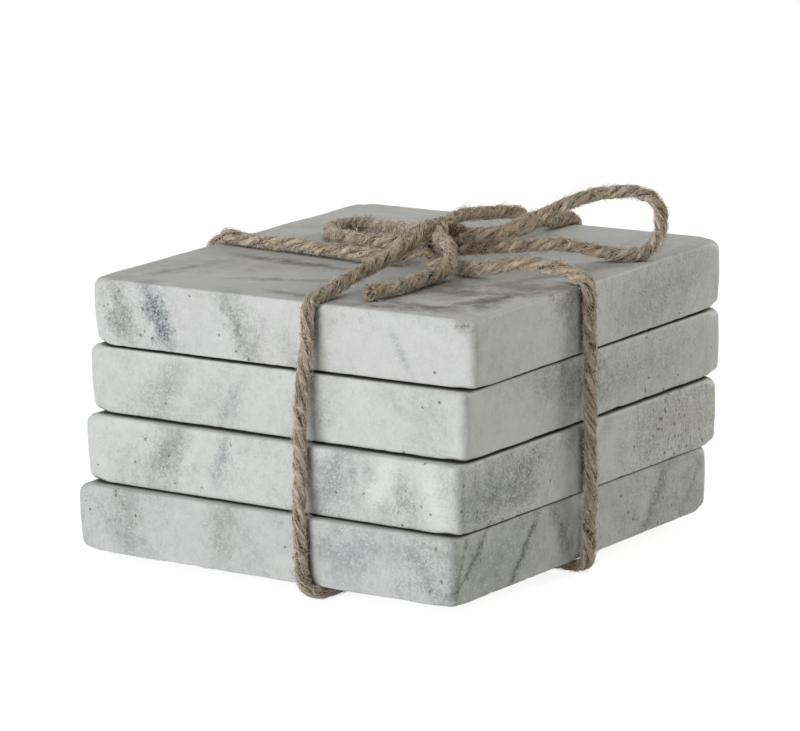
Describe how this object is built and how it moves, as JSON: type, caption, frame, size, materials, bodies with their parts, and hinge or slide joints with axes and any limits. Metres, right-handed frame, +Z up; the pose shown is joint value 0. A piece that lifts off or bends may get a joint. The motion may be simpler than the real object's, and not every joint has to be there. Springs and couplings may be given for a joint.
{
  "type": "stone drink coaster set",
  "caption": "Stack of square honed marble drink coasters tied crosswise with one length of jute twine that ends in a bow with two loops and two cut tails.",
  "frame": {"origin": "on the table under the middle of the stack's footprint", "axes": "+Z up, -Y towards the long front face on the left of the picture, +X towards the face on its right"},
  "size_m": [0.1086, 0.1115, 0.0792],
  "materials": {
    "marble": "honed",
    "jute": "rough fibre"
  },
  "bodies": {
    "bottom_coaster": {"coaster_1": "marble", "under_strand_along": "jute", "under_strand_across": "jute", "front_foot": "jute", "right_foot": "jute", "back_foot": "jute", "left_foot": "jute", "front_leg_low": "jute", "right_leg_low": "jute", "back_leg_low": "jute", "left_leg_low": "jute"},
    "second_coaster": {"coaster_2": "marble", "front_leg_mid": "jute", "right_leg_mid": "jute", "back_leg_mid": "jute", "left_leg_mid": "jute"},
    "third_coaster": {"coaster_3": "marble", "front_leg_high": "jute", "right_leg_high": "jute", "back_leg_high": "jute", "left_leg_high": "jute"},
    "top_coaster": {"coaster_4": "marble", "front_strand": "jute", "right_strand": "jute", "back_strand": "jute", "left_strand": "jute", "knot": "jute"},
    "right_bow_loop": {"right_loop": "jute"},
    "left_bow_loop": {"left_loop": "jute"},
    "front_bow_tail": {"front_tail": "jute"},
    "back_bow_tail": {"back_tail": "jute"}
  },
  "joints": [
    {"name": "lift_second_coaster", "type": "slide", "parent": "bottom_coaster", "child": "second_coaster", "axis": [0, 0, 1], "range_m": [0, 0.008], "deforming": ["front_leg_low", "right_leg_low", "back_leg_low", "left_leg_low"]},
    {"name": "lift_third_coaster", "type": "slide", "parent": "second_coaster", "child": "third_coaster", "axis": [0, 0, 1], "range_m": [0, 0.008], "deforming": ["front_leg_mid", "right_leg_mid", "back_leg_mid", "left_leg_mid"]},
    {"name": "lift_top_coaster", "type": "slide", "parent": "third_coaster", "child": "top_coaster", "axis": [0, 0, 1], "range_m": [0, 0.008], "deforming": ["front_leg_high", "right_leg_high", "back_leg_high", "left_leg_high"]},
    {"name": "swing_right_loop", "type": "hinge", "parent": "top_coaster", "child": "right_bow_loop", "pos_m": [0.0106, -0.0024, 0.06795], "axis": [0.5519, -0.8339, 0], "range_deg": [0, 30]},
    {"name": "swing_left_loop", "type": "hinge", "parent": "top_coaster", "child": "left_bow_loop", "pos_m": [0.0106, -0.0024, 0.06795], "axis": [0.354, 0.9352, 0], "range_deg": [0, 25]},
    {"name": "swing_front_tail", "type": "hinge", "parent": "top_coaster", "child": "front_bow_tail", "pos_m": [0.0106, -0.0024, 0.06795], "axis": [-0.9298, -0.3681, 0], "range_deg": [0, 20]},
    {"name": "swing_back_tail", "type": "hinge", "parent": "top_coaster", "child": "back_bow_tail", "pos_m": [0.0106, -0.0024, 0.06795], "axis": [0.9961, 0.0879, 0], "range_deg": [0, 15]}
  ]
}
